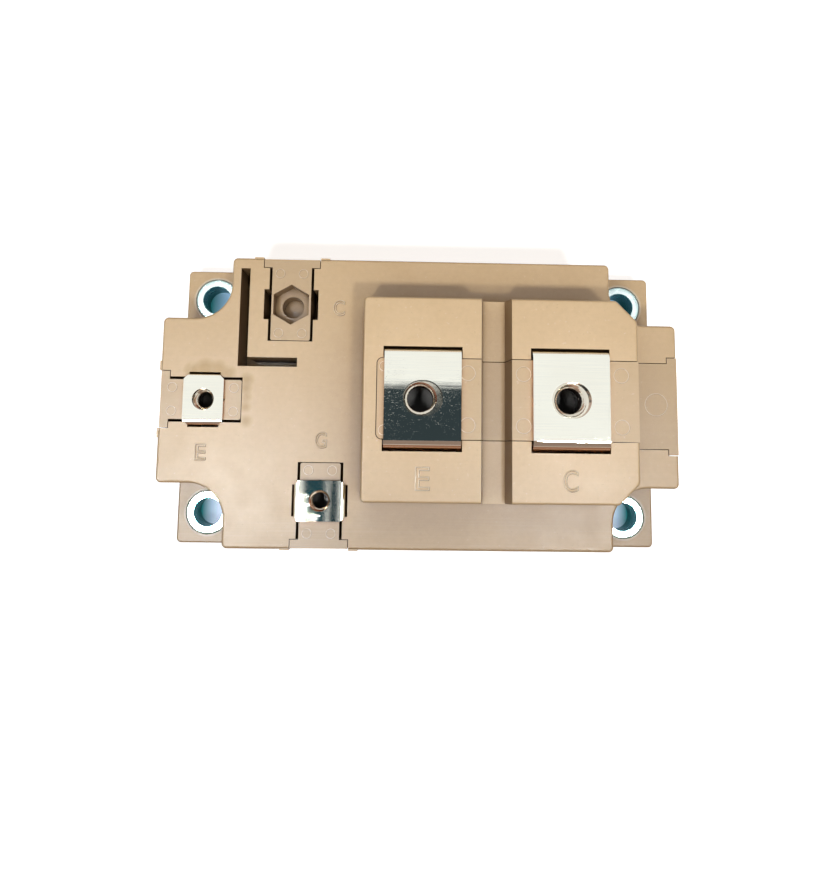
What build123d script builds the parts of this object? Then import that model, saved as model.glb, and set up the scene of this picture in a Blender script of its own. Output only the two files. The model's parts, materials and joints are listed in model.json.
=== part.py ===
"""Single-switch power transistor module with screw terminals, in millimetres.

The origin is the centre of the base plate's underside and +Z points up to the terminals.
The base plate carries two ceramic substrates with the chips, one at the rear (+Y) and one at the
front. A one-piece moulded housing stands on the plate. Each terminal is a bridge of bent sheet
whose two legs come up through slots beside a pocket, and a nut carrier slides into that pocket
from the edge of the housing, under the bridge.
"""
import os

from build123d import *

# Base plate and its four mounting holes
PLATE_LENGTH = 106.4
PLATE_WIDTH = 61.4
PLATE_THICKNESS = 3.0
PLATE_CORNER = 1.0
MOUNT_INSET = 6.7
MOUNT_BORE = 6.4

# Metal bushes that take the clamping load through the plastic ears
BUSH_BODY = 8.4
BUSH_RIM = 9.6
BUSH_RIM_THICKNESS = 0.6
BUSH_ROUNDING = 0.3
BUSH_GAP = 0.1

# Housing: flange with the ears, body with two wings, raised terminal blocks
FLANGE_TOP = 6.5
FLANGE_ROUNDING = 0.4
BODY_TOP = 23.5
BODY_SETBACK = 1.1
WING_SETBACK = 0.2
BODY_CORNER = 1.0
BODY_DRAFT = 0.5
BODY_ROUNDING = 0.5
SCALLOP_RADIUS = 7.2
HOUSING_WALL = 2.0
HOUSING_ROOF = 2.4
BLOCK_TOP = 35.5
BLOCK_WIDTH = 38.8
BLOCK_DRAFT = 3.5
BLOCK_CORNER = 0.8
BLOCK_CHAMFER = 4.0
BLOCK_ROUNDING = 0.5
BLOCK_WALL = 2.2
BLOCK_LEFT_REACH = 11.3
BLOCK_RIGHT_REACH = 13.0
GROOVE_WIDTH = 5.8
GROOVE_DEPTH = 4.5
GROOVE_SLOPE = 0.7

# L-shaped creepage slot between the collector and emitter sense terminals
CREEP_WIDTH = 1.9
CREEP_LEFT_REACH = 10.5
CREEP_RIGHT_REACH = 1.6
CREEP_REAR_WALL = 2.2
CREEP_FRONT_WALL = 3.55
CREEP_DEPTH = 9.1
POCKET_WALL = 1.4

# Main terminals: bridges of bent sheet, and the openings they stand in
MAIN_PITCH = 28.0
MAIN_WIDTH = 14.5
MAIN_SPAN = 19.2
MAIN_SHEET = 1.0
MAIN_BEND = 2.0
MAIN_LEG_BEND = 1.4
MAIN_HOLE_LENGTH = 7.5
MAIN_HOLE_WIDTH = 6.8
MAIN_SIDE_GAP = 0.25
MAIN_END_GAP = 0.3
MAIN_LEG_WIDTH = 9.0
MAIN_NECK_TOP = 19.0
MAIN_JOG_TOP = 14.5
MAIN_JOG_BOTTOM = 11.0
MAIN_FOOT = 2.5
MAIN_FOOT_MARGIN = 0.3
FOOT_SLIT = 1.0

# Main nut carrier: a bar under both bridges and a wider heel in the right wing
BAR_LEG_GAP = 1.0
BAR_LEFT = 8.6
BAR_CORNER = 1.0
BAR_SINK = 0.5
BAR_FLOOR = 2.0
HEEL_START = 8.0
HEEL_WIDTH = 17.6
HEEL_HEIGHT = 5.0
HEAD_WIDTH = 20.0
HEAD_DEPTH = 2.0
SLIDE_GAP = 0.15

# Sense and gate terminals, each drawn about its own screw axis
EMITTER_SENSE_REACH = 9.0
COLLECTOR_SENSE_REACH = 9.7
COLLECTOR_SENSE_INSET = 12.3
GATE_REACH = 9.6
GATE_X = -20.0
SENSE_WIDTH = 8.1
SENSE_LEG_WIDTH = 6.0
SENSE_SPAN = 10.4
SENSE_SHEET = 0.8
SENSE_BEND = 0.9
SENSE_HOLE = 4.4
SENSE_FOOT = 3.2
SENSE_SLOT_SIDE_GAP = 0.15
SENSE_SLOT_END_GAP = 0.4
ARM_HEIGHT = 2.0
ARM_FOOT_LENGTH = 4.0
ARM_FOOT_INSET = 0.6

# Sense and gate nut carriers
CARRIER_LEG_GAP = 0.35
CARRIER_SIDE_GAP = 0.55
CARRIER_HEIGHT = 9.0
CARRIER_FLOOR = 1.5
CARRIER_INNER = 7.5
CARRIER_CORNER = 0.4
CARRIER_HEAD_WIDTH = 11.5
CARRIER_HEAD_DEPTH = 1.7
CARRIER_HEAD_SINK = 0.2
CHEEK_WIDTH = 1.9
CHEEK_PROUD = 0.2

# Hexagon nuts, and the play of the nut and of the screw's end in the carrier
M6_THREAD = 6.0
M6_CORE = 5.0
M6_FLATS = 10.0
M6_HEIGHT = 5.0
M6_POCKET_PLAY = 1.0
M6_SCREW_PLAY = 1.0
M4_THREAD = 4.0
M4_CORE = 3.3
M4_FLATS = 7.0
M4_HEIGHT = 3.2
M4_POCKET_PLAY = 0.3
M4_SCREW_PLAY = 0.6
NUT_SINK = 0.1
EMITTER_NUT_SHIFT = -0.4
NUT_CORNER_CUT = 0.3

# Substrates, built up on the base plate from solder, copper, ceramic and copper pads
SUBSTRATE_LEFT_GAP = 6.3
SUBSTRATE_RIGHT_GAP = 1.3
SUBSTRATE_OUTER_GAP = 0.6
SUBSTRATE_INNER = 3.0
PLATE_SOLDER = 0.2
COPPER = 0.3
CERAMIC = 0.63
COPPER_MARGIN = 0.7
PAD_GAP = 0.8
SENSE_PAD_MARGIN = 1.4
GATE_STRIP_WIDTH = 1.3

# Chips, in one row on each collector pad
CHIP_SOLDER = 0.1
CHIP_THICKNESS = 0.2
CHIP_GAP = 0.8
CHIP_INSET = 0.5
CHIP_MARGIN = 0.1
TRANSISTOR_SIZE = 10.4
DIODE_WIDTH = 6.2
DIODE_LENGTH = 9.6

# Bond wires, gate resistors and the gate link between the substrates
WIRE = 0.4
WIRE_RISE = 1.6
WIRE_LANDING = 1.0
WIRE_START = 2.0
WIRE_COUNT = {"transistor": 4, "diode": 3}
GATE_WIRE = 0.25
GATE_WIRE_RISE = 0.9
BOND_FOOT = 0.9
RESISTOR_DIAMETER = 1.1
RESISTOR_LENGTH = 2.2
RESISTOR_CAP = 0.5
LINK_DIAMETER = 1.0
LINK_INSET = 1.8
LINK_OFFSET = 1.0
LINK_COVER = 0.4
LINK_BEND = 1.5

# Silicone gel
GEL_GAP = 0.15
GEL_ROOM = 0.3
GEL_ROOM_TOP = 8.0

# Heights worked out from the sizes above
COPPER_BOTTOM = PLATE_THICKNESS + PLATE_SOLDER
CERAMIC_BOTTOM = COPPER_BOTTOM + COPPER
PAD_BOTTOM = CERAMIC_BOTTOM + CERAMIC
PAD_TOP = PAD_BOTTOM + COPPER
CHIP_BOTTOM = PAD_TOP + CHIP_SOLDER
CHIP_TOP = CHIP_BOTTOM + CHIP_THICKNESS
ROOF_UNDERSIDE = BODY_TOP - HOUSING_ROOF
GROOVE_FLOOR = BLOCK_TOP - GROOVE_DEPTH
CREEP_FLOOR = BODY_TOP - CREEP_DEPTH
BAR_BOTTOM = BODY_TOP - BAR_SINK
HEEL_BOTTOM = BODY_TOP - HEEL_HEIGHT
SENSE_SEAT = BODY_TOP
CARRIER_BOTTOM = SENSE_SEAT - CARRIER_HEIGHT
GEL_TOP = CARRIER_BOTTOM - SLIDE_GAP - POCKET_WALL - GEL_GAP
LINK_TOP = GEL_TOP - LINK_COVER - LINK_DIAMETER / 2
ARM_TOP = LINK_TOP - LINK_DIAMETER / 2 - LINK_COVER
ARM_BOTTOM = ARM_TOP - ARM_HEIGHT
SKY = 2 * BLOCK_TOP

# Places in plan worked out from the sizes above
MOUNT_X = PLATE_LENGTH / 2 - MOUNT_INSET
MOUNT_Y = PLATE_WIDTH / 2 - MOUNT_INSET
HALF_TIP = PLATE_LENGTH / 2 - WING_SETBACK
HALF_WIDTH = PLATE_WIDTH / 2 - BODY_SETBACK
HALF_BODY = MOUNT_X - SCALLOP_RADIUS
BLOCK_LEFT = -BLOCK_LEFT_REACH
BLOCK_RIGHT = MAIN_PITCH + BLOCK_RIGHT_REACH
GROOVE_LEFT = (MAIN_PITCH - GROOVE_WIDTH) / 2
GROOVE_RIGHT = (MAIN_PITCH + GROOVE_WIDTH) / 2
MAIN_OPENING_LENGTH = MAIN_WIDTH + 2 * MAIN_SIDE_GAP
MAIN_OPENING_SPAN = MAIN_SPAN + 2 * MAIN_END_GAP
BAR_WIDTH = MAIN_SPAN - 2 * MAIN_SHEET - 2 * BAR_LEG_GAP
HEEL_LEFT = MAIN_PITCH + HEEL_START
EMITTER_SENSE_X = EMITTER_SENSE_REACH - HALF_TIP
COLLECTOR_SENSE_X = COLLECTOR_SENSE_INSET - HALF_BODY
COLLECTOR_SENSE_Y = HALF_WIDTH - COLLECTOR_SENSE_REACH
GATE_Y = GATE_REACH - HALF_WIDTH
SENSE_OPENING_LENGTH = SENSE_LEG_WIDTH + 2 * SENSE_SLOT_SIDE_GAP
SENSE_OPENING_SPAN = SENSE_SPAN + 2 * SENSE_SLOT_END_GAP
CARRIER_WIDTH = SENSE_SPAN - 2 * SENSE_SHEET - 2 * CARRIER_LEG_GAP
CREEP_LEFT = COLLECTOR_SENSE_X - CREEP_LEFT_REACH
CREEP_RIGHT = COLLECTOR_SENSE_X + CREEP_RIGHT_REACH
CREEP_REAR = HALF_WIDTH - CREEP_REAR_WALL
CREEP_FRONT = COLLECTOR_SENSE_Y - CARRIER_INNER - CREEP_FRONT_WALL - CREEP_WIDTH
SUBSTRATE_LEFT = SUBSTRATE_LEFT_GAP + HOUSING_WALL - HALF_BODY
SUBSTRATE_RIGHT = HALF_BODY - HOUSING_WALL - SUBSTRATE_RIGHT_GAP
SUBSTRATE_OUTER = HALF_WIDTH - HOUSING_WALL - SUBSTRATE_OUTER_GAP
PAD_LEFT = SUBSTRATE_LEFT + COPPER_MARGIN
PAD_RIGHT = SUBSTRATE_RIGHT - COPPER_MARGIN
PAD_INNER = SUBSTRATE_INNER + COPPER_MARGIN
PAD_OUTER = SUBSTRATE_OUTER - COPPER_MARGIN
SENSE_PAD_RIGHT = GATE_X + SENSE_SPAN / 2 + SENSE_PAD_MARGIN
SENSE_PAD_OUTER = -GATE_Y - SENSE_LEG_WIDTH / 2 - PAD_GAP
EMITTER_PAD_RIGHT = MAIN_PITCH - MAIN_LEG_WIDTH / 2 - PAD_GAP
GATE_STRIP_INNER = PAD_OUTER - GATE_STRIP_WIDTH
CHIP_PAD_LEFT = SENSE_PAD_RIGHT + PAD_GAP
CHIP_ROW_LEFT = CHIP_PAD_LEFT + CHIP_INSET
CHIP_ROW_Y = GATE_STRIP_INNER - PAD_GAP - CHIP_MARGIN - TRANSISTOR_SIZE / 2
EMITTER_PAD_OUTER = CHIP_ROW_Y - TRANSISTOR_SIZE / 2 - CHIP_MARGIN - PAD_GAP
LINK_X = PAD_LEFT + LINK_INSET
LINK_Y = LINK_OFFSET - GATE_Y


def block(x0, x1, y0, y1, z0, z1):
    """A box between two corners."""
    return Pos((x0 + x1) / 2, (y0 + y1) / 2, (z0 + z1) / 2) * Box(x1 - x0, y1 - y0, z1 - z0)


def prism(outline, z0, z1):
    """A flat outline raised from one height to another."""
    return extrude(Pos(0, 0, z0) * outline, amount=z1 - z0)


def rod(diameter, z0, z1):
    """An upright cylinder on the local origin."""
    return prism(Circle(diameter / 2), z0, z1)


def hexagon(flats):
    """A hexagon with two corners on the X axis."""
    return RegularPolygon(radius=flats / 2, side_count=6, major_radius=False)


def bent_sheet(points, radii, sheet, width):
    """Sheet bent along (y, z) points of its outer face, extruded along X about the origin."""
    outer = FilletPolyline(*[(0, y, z) for y, z in points], radius=radii)
    profile = Face(outer.offset_2d(sheet, side=Side.RIGHT, closed=True))
    return extrude(profile, amount=width / 2, dir=(1, 0, 0), both=True)


def round_top(solid, radius):
    """The solid with the edges of its highest face rounded."""
    return fillet(solid.faces().sort_by(Axis.Z)[-1].edges(), radius)


def group(solids):
    """Separate solids kept together as one piece."""
    return Compound(children=[part.solid() for part in solids])


def mount_places():
    """Name and place of each mounting hole."""
    ends = (("left", -MOUNT_X), ("right", MOUNT_X))
    sides = (("rear", MOUNT_Y), ("front", -MOUNT_Y))
    return [(f"{side}_{end}", x, y) for side, y in sides for end, x in ends]


def sense_places():
    """Place of each short carrier, and how far its screw axis lies from the housing's edge.

    A carrier is drawn about its screw axis with +Y pointing out of the housing.
    """
    return {
        "collector_sense": (Pos(COLLECTOR_SENSE_X, COLLECTOR_SENSE_Y, 0), COLLECTOR_SENSE_REACH),
        "emitter_sense": (Pos(EMITTER_SENSE_X, 0, 0) * Rot(0, 0, 90), EMITTER_SENSE_REACH),
        "gate": (Pos(GATE_X, GATE_Y, 0) * Rot(0, 0, 180), GATE_REACH),
    }


# Base plate and bushes
def base_plate():
    plate = prism(RectangleRounded(PLATE_LENGTH, PLATE_WIDTH, PLATE_CORNER), 0, PLATE_THICKNESS)
    for _, x, y in mount_places():
        plate -= Pos(x, y, 0) * rod(MOUNT_BORE, 0, PLATE_THICKNESS)
    return plate


def bush_body(gap):
    """A flanged sleeve, or with a gap the seat for it."""
    rim_bottom = FLANGE_TOP - BUSH_RIM_THICKNESS
    rim = rod(BUSH_RIM + 2 * gap, rim_bottom, FLANGE_TOP)
    return rim + rod(BUSH_BODY + 2 * gap, PLATE_THICKNESS, FLANGE_TOP)


def bush():
    return round_top(bush_body(0), BUSH_ROUNDING) - rod(MOUNT_BORE, PLATE_THICKNESS, FLANGE_TOP)


# Housing
def body_outline(inset=0.0):
    """The body in plan: a rectangle with its corners cut away round the mounting holes."""
    radius = SCALLOP_RADIUS + inset
    reach = PLATE_LENGTH / 2 - radius
    cut = Pos(MOUNT_X + reach, MOUNT_Y + reach) * RectangleRounded(PLATE_LENGTH, PLATE_LENGTH, radius)
    cut += mirror(cut, about=Plane.YZ)
    cut += mirror(cut, about=Plane.XZ)
    end, side = HALF_TIP - inset, HALF_WIDTH - inset
    outline = Rectangle(2 * end, 2 * side) - cut
    corners = [v for v in outline.vertices() if abs(v.X) > end - 0.01 or abs(v.Y) > side - 0.01]
    return fillet(corners, BODY_CORNER)


def drafted(solid, angle):
    """The solid with its upright faces leaning outward below its top."""
    top = solid.bounding_box().max.Z
    sides = [f for f in solid.faces() if abs(f.normal_at().Z) < 0.01]
    return draft(sides, Plane.XY.offset(top), angle)


def groove():
    """The gap between the raised blocks, with sloping sides."""
    section = Polygon(
        (GROOVE_LEFT, BLOCK_TOP),
        (GROOVE_RIGHT, BLOCK_TOP),
        (GROOVE_RIGHT - GROOVE_SLOPE, GROOVE_FLOOR),
        (GROOVE_LEFT + GROOVE_SLOPE, GROOVE_FLOOR),
        align=None,
    )
    trench = extrude(Plane.XZ * section, amount=BLOCK_WIDTH, both=True)
    return trench + block(GROOVE_LEFT, GROOVE_RIGHT, -BLOCK_WIDTH, BLOCK_WIDTH, BLOCK_TOP, SKY)


def terminal_blocks():
    """Both raised blocks, from the roof's underside up."""
    outline = Rectangle(BLOCK_RIGHT - BLOCK_LEFT, BLOCK_WIDTH)
    outline = chamfer([v for v in outline.vertices() if v.X > 0], BLOCK_CHAMFER)
    outline = Pos((BLOCK_LEFT + BLOCK_RIGHT) / 2, 0) * fillet(outline.vertices(), BLOCK_CORNER)
    raised = drafted(prism(outline, ROOF_UNDERSIDE, BLOCK_TOP), BLOCK_DRAFT)
    return round_top(raised, BLOCK_ROUNDING) - groove()


def envelope():
    """The outside of the housing with nothing cut into it."""
    foot = RectangleRounded(PLATE_LENGTH, PLATE_WIDTH, PLATE_CORNER)
    flange = round_top(prism(foot, PLATE_THICKNESS, FLANGE_TOP), FLANGE_ROUNDING)
    body = drafted(prism(body_outline(), PLATE_THICKNESS, BODY_TOP), BODY_DRAFT)
    return flange + round_top(body, BODY_ROUNDING) + terminal_blocks()


def bar_outline(end, gap=0.0):
    """The main carrier's bar in plan with its left corners rounded, or with a gap the room round it."""
    left = -BAR_LEFT - gap
    outline = Pos((left + end) / 2, 0) * Rectangle(end - left, BAR_WIDTH + 2 * gap)
    return fillet([v for v in outline.vertices() if v.X < 0], BAR_CORNER + gap)


def main_well(wall=0.0):
    """The room for the main carrier and bridges, or with a wall the plastic round it."""
    grow = SLIDE_GAP + wall
    half_heel, half_head = HEEL_WIDTH / 2 + grow, HEAD_WIDTH / 2 + grow
    half_x, half_y = MAIN_OPENING_LENGTH / 2 + wall, MAIN_OPENING_SPAN / 2 + wall
    heel_top = BODY_TOP + SLIDE_GAP
    well = prism(bar_outline(PLATE_LENGTH, grow), BAR_BOTTOM - grow, SKY)
    well += block(HEEL_LEFT - grow, PLATE_LENGTH, -half_heel, half_heel, HEEL_BOTTOM - grow, heel_top)
    head_left = HALF_TIP - HEAD_DEPTH - grow
    well += block(head_left, PLATE_LENGTH, -half_head, half_head, HEEL_BOTTOM - grow, heel_top)
    for x in (0, MAIN_PITCH):
        well += block(x - half_x, x + half_x, -half_y, half_y, BAR_BOTTOM - grow, SKY)
    return well


def main_leg_slots():
    """The slots that the legs of the main bridges pass through."""
    slot = Rectangle(MAIN_OPENING_LENGTH, MAIN_OPENING_SPAN)
    slot -= Rectangle(MAIN_OPENING_LENGTH, MAIN_SPAN - 2 * MAIN_SHEET - 2 * SLIDE_GAP)
    slots = prism(slot, PLATE_THICKNESS, BLOCK_TOP)
    return slots + Pos(MAIN_PITCH, 0, 0) * slots


def sense_well(reach, wall=0.0):
    """The room for a short carrier and its bridge, or with a wall the plastic round it."""
    grow = SLIDE_GAP + wall
    bottom = CARRIER_BOTTOM - grow
    half, half_head = CARRIER_WIDTH / 2 + CARRIER_SIDE_GAP + wall, CARRIER_HEAD_WIDTH / 2 + grow
    half_x, half_y = SENSE_OPENING_SPAN / 2 + wall, SENSE_OPENING_LENGTH / 2 + wall
    outside = reach + HOUSING_WALL
    well = block(-half, half, -CARRIER_INNER - grow, outside, bottom, SKY)
    head_start = reach - CARRIER_HEAD_SINK - CARRIER_HEAD_DEPTH - grow
    well += block(-half_head, half_head, head_start, outside, bottom, SKY)
    return well + block(-half_x, half_x, -half_y, half_y, bottom, SKY)


def cheeks(reach):
    """The proud strips of wall on both sides of a short carrier's head."""
    half = CARRIER_HEAD_WIDTH / 2 + SLIDE_GAP
    strips = Rectangle(2 * (half + CHEEK_WIDTH), 2 * CHEEK_PROUD) - Rectangle(2 * half, 2 * CHEEK_PROUD)
    return Pos(0, reach, 0) * prism(strips, CARRIER_BOTTOM - SLIDE_GAP, BODY_TOP)


def sense_leg_slots():
    """The two slots beside a short carrier, which its terminal's legs pass through."""
    slot = Rectangle(SENSE_OPENING_SPAN, SENSE_OPENING_LENGTH)
    slot -= Rectangle(SENSE_SPAN - 2 * SENSE_SHEET - 2 * SLIDE_GAP, SENSE_OPENING_LENGTH)
    return prism(slot, PLATE_THICKNESS, SENSE_SEAT)


def creepage_slot(wall=0.0):
    """The L-shaped slot, or with a wall the plastic round it."""
    left, front, floor = CREEP_LEFT - wall, CREEP_FRONT - wall, CREEP_FLOOR - wall
    upright = block(left, CREEP_LEFT + CREEP_WIDTH + wall, front, CREEP_REAR + wall, floor, SKY)
    level = block(left, CREEP_RIGHT + wall, front, CREEP_FRONT + CREEP_WIDTH + wall, floor, SKY)
    return upright + level


def block_cores():
    """Hollows moulded up into the raised blocks, front and rear of the openings."""
    y0, y1 = MAIN_OPENING_SPAN / 2 + POCKET_WALL, BLOCK_WIDTH / 2 - BLOCK_WALL
    spans = (
        (BLOCK_LEFT + BLOCK_WALL, GROOVE_LEFT - BLOCK_WALL),
        (GROOVE_RIGHT + BLOCK_WALL, BLOCK_RIGHT - BLOCK_CHAMFER - BLOCK_WALL),
    )
    cores = [block(x0, x1, y0, y1, ROOF_UNDERSIDE, BLOCK_TOP - HOUSING_ROOF) for x0, x1 in spans]
    rear = cores[0] + cores[1]
    return rear + mirror(rear, about=Plane.XZ)


def housing():
    inside = prism(body_outline(HOUSING_WALL), PLATE_THICKNESS, ROOF_UNDERSIDE) + block_cores()
    inside -= main_well(POCKET_WALL) + creepage_slot(POCKET_WALL)
    for place, reach in sense_places().values():
        inside -= place * sense_well(reach, POCKET_WALL)
    outside = envelope()
    for place, reach in sense_places().values():
        outside += place * cheeks(reach)
    shell = outside - inside - main_well() - main_leg_slots() - creepage_slot()
    for place, reach in sense_places().values():
        shell -= place * (sense_well(reach) + sense_leg_slots())
    for _, x, y in mount_places():
        shell -= Pos(x, y, 0) * bush_body(BUSH_GAP)
    return shell


# Nuts and the carriers that hold them
def nut(flats, height, core, thread):
    """A hexagon nut with cut corners, its top face on the local XY plane."""
    round_blank = Cylinder(flats / 3**0.5, height)
    round_blank = chamfer(round_blank.edges().filter_by(GeomType.CIRCLE), NUT_CORNER_CUT)
    blank = prism(hexagon(flats), -height / 2, height / 2) & round_blank
    bore = Cylinder(core / 2, height)
    mouth = Pos(0, 0, height / 2) * Cone(core / 2, thread / 2, (thread - core) / 2,
                                         align=(Align.CENTER, Align.CENTER, Align.MAX))
    return Pos(0, 0, -height / 2) * (blank - bore - mouth - mirror(mouth, about=Plane.XY))


def nut_pocket(flats, height, passage, bottom, seat):
    """The hexagon pocket for a nut below the seat, and the hole for the screw's end."""
    depth = height + 2 * NUT_SINK
    return prism(hexagon(flats), seat - depth, seat) + rod(passage, bottom, seat)


def main_nut_carrier():
    heel = block(HEEL_LEFT, HALF_TIP, -HEEL_WIDTH / 2, HEEL_WIDTH / 2, HEEL_BOTTOM, BODY_TOP)
    head = block(HALF_TIP - HEAD_DEPTH, HALF_TIP, -HEAD_WIDTH / 2, HEAD_WIDTH / 2, HEEL_BOTTOM, BODY_TOP)
    carrier = prism(bar_outline(BLOCK_RIGHT), BAR_BOTTOM, BLOCK_TOP) + heel + head - groove()
    pocket = nut_pocket(M6_FLATS + M6_POCKET_PLAY, M6_HEIGHT, M6_THREAD + M6_SCREW_PLAY,
                        BAR_BOTTOM + BAR_FLOOR, BLOCK_TOP)
    return carrier - pocket - Pos(MAIN_PITCH, 0, 0) * pocket


def sense_nut_carrier(reach):
    end = reach - CARRIER_HEAD_SINK
    stem = Pos(0, (end - CARRIER_INNER) / 2) * Rectangle(CARRIER_WIDTH, end + CARRIER_INNER)
    stem = fillet([v for v in stem.vertices() if v.Y < 0], CARRIER_CORNER)
    head = Pos(0, end - CARRIER_HEAD_DEPTH / 2) * Rectangle(CARRIER_HEAD_WIDTH, CARRIER_HEAD_DEPTH)
    pocket = nut_pocket(M4_FLATS + M4_POCKET_PLAY, M4_HEIGHT, M4_THREAD + M4_SCREW_PLAY,
                        CARRIER_BOTTOM + CARRIER_FLOOR, SENSE_SEAT)
    return prism(stem + head, CARRIER_BOTTOM, SENSE_SEAT) - Rot(0, 0, 90) * pocket


# Terminals
def main_terminal():
    """A bridge over the main carrier, with both legs jogged inward above their soldered feet."""
    half, top = MAIN_SPAN / 2, BLOCK_TOP + MAIN_SHEET
    low = PAD_INNER + MAIN_FOOT_MARGIN + MAIN_FOOT
    leg = [(low - MAIN_FOOT, PAD_TOP), (low, PAD_TOP), (low, MAIN_JOG_BOTTOM), (half, MAIN_JOG_TOP),
           (half, top)]
    points = [(-y, z) for y, z in leg] + leg[::-1]
    leg_bends = [MAIN_LEG_BEND] * (len(leg) - 2)
    strap = bent_sheet(points, leg_bends + [MAIN_BEND] * 2 + leg_bends, MAIN_SHEET, MAIN_WIDTH)
    neck = Rectangle(MAIN_WIDTH, MAIN_SPAN) - Rectangle(MAIN_LEG_WIDTH, MAIN_SPAN)
    strap -= prism(neck, PAD_TOP, MAIN_NECK_TOP)
    strap -= prism(Rectangle(FOOT_SLIT, 2 * (low - MAIN_LEG_BEND)), PAD_TOP, PAD_TOP + MAIN_SHEET)
    return strap - prism(SlotOverall(MAIN_HOLE_LENGTH, MAIN_HOLE_WIDTH), BLOCK_TOP, top)


def sense_bridge(leg_points):
    """A bridge over a short carrier, its legs following (x, z) points up to the top."""
    top = SENSE_SEAT + SENSE_SHEET
    leg = leg_points + [(SENSE_SPAN / 2, top)]
    points = [(-x, z) for x, z in leg] + leg[::-1]
    strap = Rot(0, 0, -90) * bent_sheet(points, SENSE_BEND, SENSE_SHEET, SENSE_WIDTH)
    pad = chamfer(Rectangle(SENSE_SPAN, SENSE_WIDTH).vertices(), (SENSE_WIDTH - SENSE_LEG_WIDTH) / 2)
    room = prism(pad, SENSE_SEAT, top)
    room += prism(Rectangle(SENSE_SPAN, SENSE_LEG_WIDTH), PAD_TOP, top)
    return (strap & room) - rod(SENSE_HOLE, SENSE_SEAT, top)


def gate_terminal():
    half = SENSE_SPAN / 2
    return sense_bridge([(half - SENSE_FOOT, PAD_TOP), (half, PAD_TOP)])


def emitter_sense_terminal():
    """A bridge whose legs each carry an arm that reaches the substrate and ends in a foot."""
    half = SENSE_SPAN / 2
    inner = half - SENSE_SHEET
    strap = sense_bridge([(half, ARM_BOTTOM)])
    end = EMITTER_SENSE_X - PAD_LEFT - ARM_FOOT_INSET - ARM_FOOT_LENGTH
    arm = block(inner, half, end, SENSE_LEG_WIDTH / 2, ARM_BOTTOM, ARM_BOTTOM + ARM_HEIGHT)
    arm += block(inner, half, end, end + ARM_FOOT_LENGTH, PAD_TOP, ARM_BOTTOM + ARM_HEIGHT)
    arm += block(inner, inner + SENSE_FOOT, end, end + ARM_FOOT_LENGTH, PAD_TOP, PAD_TOP + SENSE_SHEET)
    return strap + arm + mirror(arm, about=Plane.YZ)


# Substrates and what is soldered to them, drawn for the rear one
def layer(x0, x1, y0, y1, bottom, thickness):
    return block(x0, x1, y0, y1, bottom, bottom + thickness)


def substrate_pads():
    emitter = layer(PAD_LEFT, EMITTER_PAD_RIGHT, PAD_INNER, EMITTER_PAD_OUTER, PAD_BOTTOM, COPPER)
    emitter += layer(PAD_LEFT, SENSE_PAD_RIGHT, PAD_INNER, SENSE_PAD_OUTER, PAD_BOTTOM, COPPER)
    gate = layer(PAD_LEFT, SENSE_PAD_RIGHT, SENSE_PAD_OUTER + PAD_GAP, PAD_OUTER, PAD_BOTTOM, COPPER)
    strip = layer(CHIP_PAD_LEFT, EMITTER_PAD_RIGHT, GATE_STRIP_INNER, PAD_OUTER, PAD_BOTTOM, COPPER)
    outer = GATE_STRIP_INNER - PAD_GAP
    collector = layer(CHIP_PAD_LEFT, PAD_RIGHT, EMITTER_PAD_OUTER + PAD_GAP, outer, PAD_BOTTOM, COPPER)
    collector += layer(EMITTER_PAD_RIGHT + PAD_GAP, PAD_RIGHT, PAD_INNER, outer, PAD_BOTTOM, COPPER)
    return [emitter, gate, strip, collector]


def chip_row():
    """Kind, centre, width and length of each chip from left to right."""
    row = []
    x = CHIP_ROW_LEFT
    for kind in ("transistor", "diode", "transistor", "diode"):
        width = TRANSISTOR_SIZE if kind == "transistor" else DIODE_WIDTH
        length = TRANSISTOR_SIZE if kind == "transistor" else DIODE_LENGTH
        row.append((kind, x + width / 2, width, length))
        x += width + CHIP_GAP
    return row


def chip(x, width, length, bottom, thickness):
    outline = Pos(x, CHIP_ROW_Y) * Rectangle(width, length)
    return prism(outline, bottom, bottom + thickness)


def bond_wire(x, start, end, rise, diameter):
    """A wire arched between two (y, z) points, pressed flat into a foot at each."""
    (y0, z0), (y1, z1) = start, end
    low = diameter / 2
    path = ThreePointArc((x, y0, z0 + low), (x, (y0 + y1) / 2, max(z0, z1) + rise), (x, y1, z1 + low))
    wire = sweep(Plane(path @ 0, z_dir=path % 0) * Circle(low), path=path)
    half = BOND_FOOT / 2
    for y, z in (start, end):
        wire += block(x - low, x + low, y - half, y + half, z, z + diameter)
    return wire


def emitter_wires():
    wires = []
    for kind, x, width, _ in chip_row():
        pitch = width / WIRE_COUNT[kind]
        for i in range(WIRE_COUNT[kind]):
            place = x - width / 2 + pitch * (i + 0.5)
            start, end = (CHIP_ROW_Y - WIRE_START, CHIP_TOP), (EMITTER_PAD_OUTER - WIRE_LANDING, PAD_TOP)
            wires.append(bond_wire(place, start, end, WIRE_RISE, WIRE))
    return wires


def gate_wires():
    start_y = CHIP_ROW_Y + TRANSISTOR_SIZE / 2 - BOND_FOOT
    end_y = (GATE_STRIP_INNER + PAD_OUTER) / 2
    places = [x for kind, x, _, _ in chip_row() if kind == "transistor"]
    return [bond_wire(x, (start_y, CHIP_TOP), (end_y, PAD_TOP), GATE_WIRE_RISE, GATE_WIRE) for x in places]


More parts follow.
